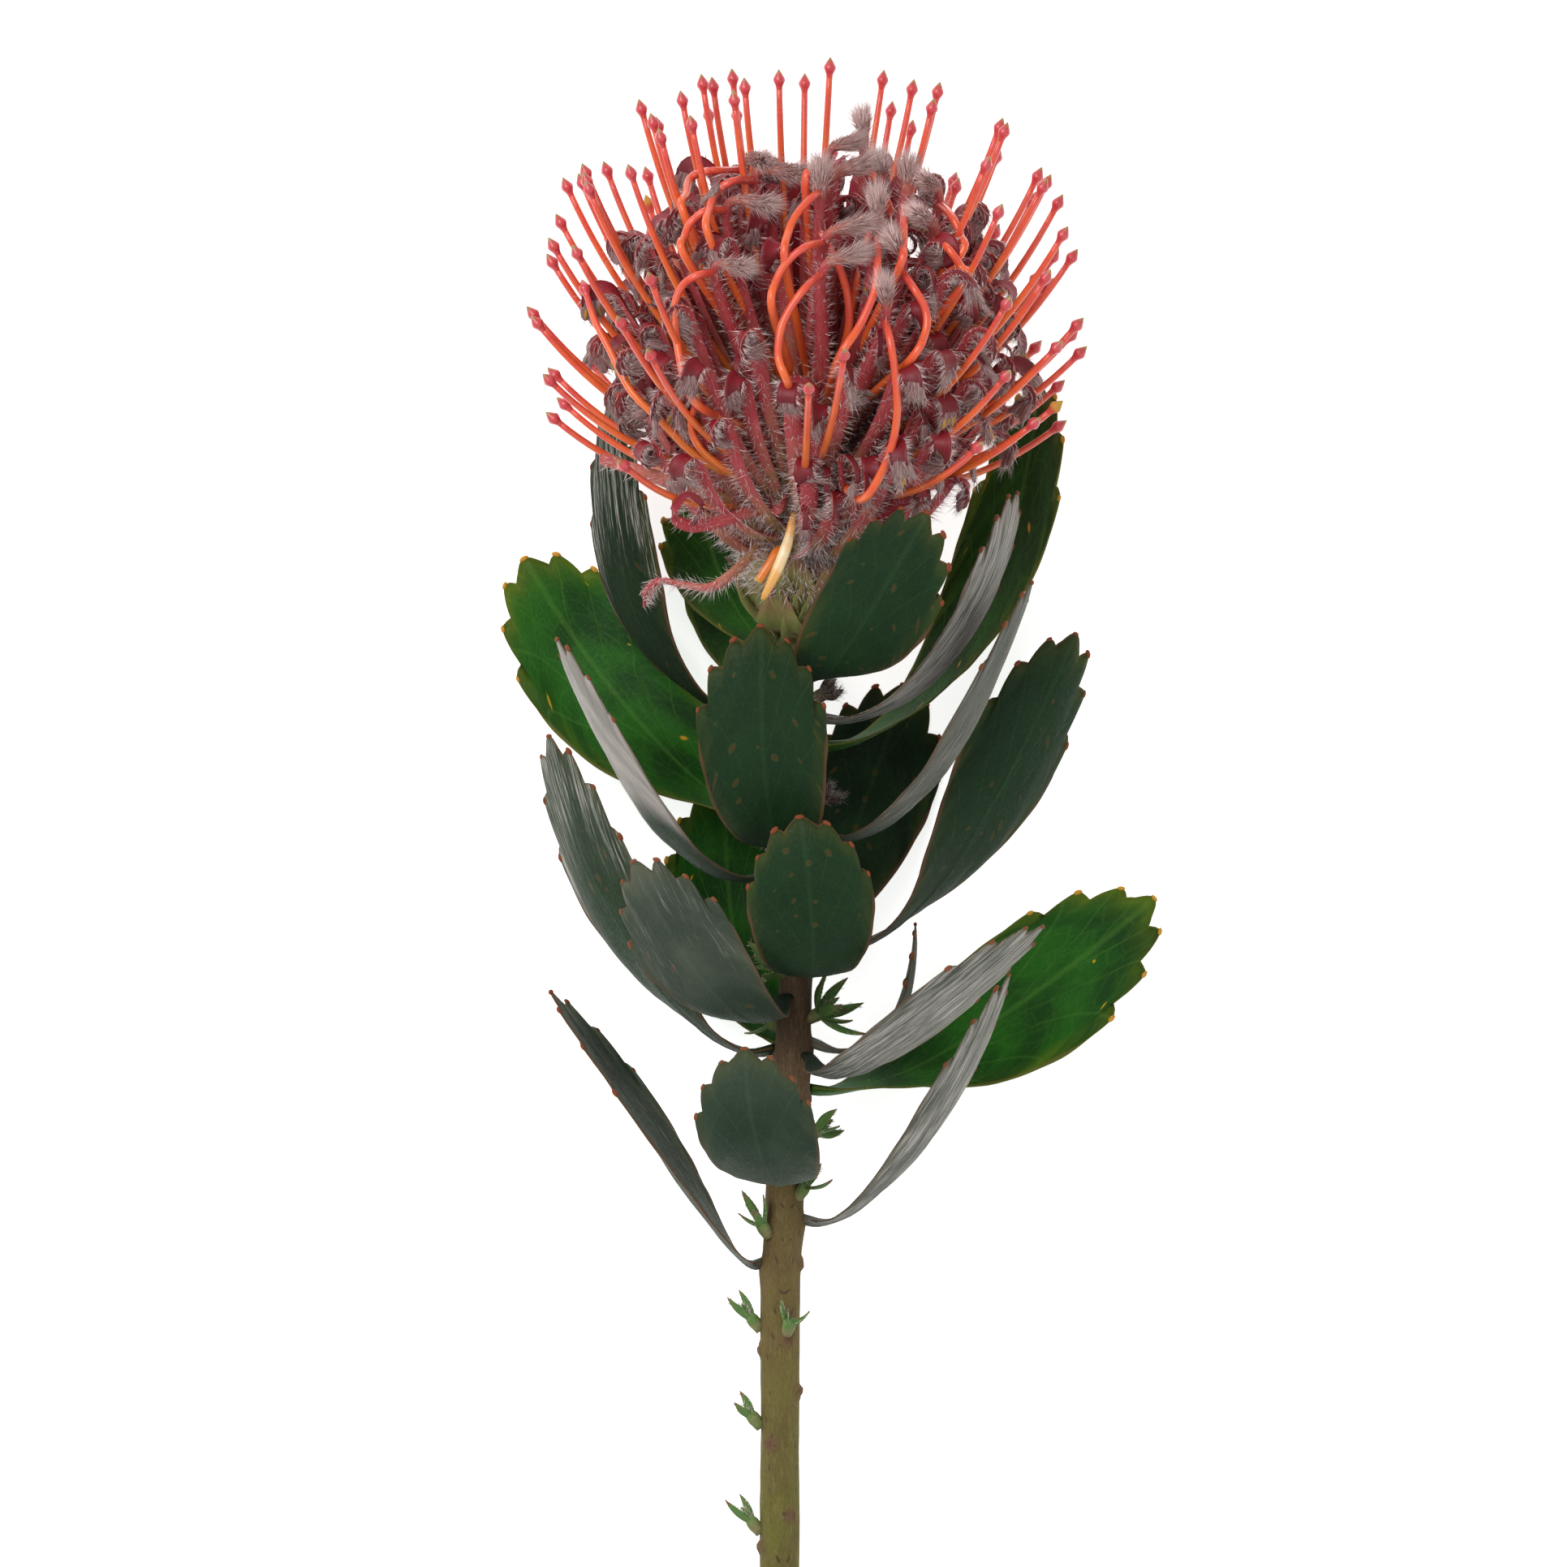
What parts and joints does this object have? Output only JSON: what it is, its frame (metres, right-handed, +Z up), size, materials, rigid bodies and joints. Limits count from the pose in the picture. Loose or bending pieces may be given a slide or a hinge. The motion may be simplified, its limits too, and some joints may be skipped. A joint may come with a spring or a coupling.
{
  "type": "pincushion protea flower",
  "caption": "Cut pincushion protea stem lying on its side: a round head of looping styles over curled perianths, above toothed leathery leaves and small side shoots.",
  "frame": {"origin": "middle of the footprint, on the surface that the flower lies on", "axes": "+Y up the stem to the flower head, +Z up from the surface, +X to the right as the head points away"},
  "size_m": [0.1111, 0.2928, 0.0935],
  "materials": {
    "stem": "olive young bark, mauve brown towards the head",
    "leaf": "leathery leaf, satin",
    "shoot": "young leaflets",
    "bud": "woolly buds in the leaf axils",
    "bract": "downy bracts",
    "style": "smooth waxy styles",
    "perianth": "hairy ribbons"
  },
  "bodies": {
    "root": {"stem": "stem", "leaf_1": "leaf", "leaf_2": "leaf", "leaf_3": "leaf", "leaf_4": "leaf", "leaf_5": "leaf", "leaf_6": "leaf", "leaf_7": "leaf", "leaf_8": "leaf", "leaf_9": "leaf", "leaf_10": "leaf", "leaf_11": "leaf", "leaf_12": "leaf", "leaf_13": "leaf", "leaf_14": "leaf", "leaf_15": "leaf", "leaf_16": "leaf", "leaf_17": "leaf", "leaf_18": "leaf", "leaf_19": "leaf", "leaf_20": "leaf", "leaf_21": "leaf", "leaf_22": "leaf", "involucre": "bract", "styles": "style", "perianths": "perianth", "side_shoot_1": "shoot", "side_shoot_2": "shoot", "side_shoot_3": "shoot", "side_shoot_4": "shoot", "side_shoot_5": "shoot", "side_shoot_6": "shoot", "side_shoot_7": "shoot", "side_shoot_8": "shoot", "side_shoot_9": "shoot", "side_shoot_10": "shoot", "woolly_bud_1": "bud", "woolly_bud_2": "bud", "woolly_bud_3": "bud"}
  },
  "joints": []
}
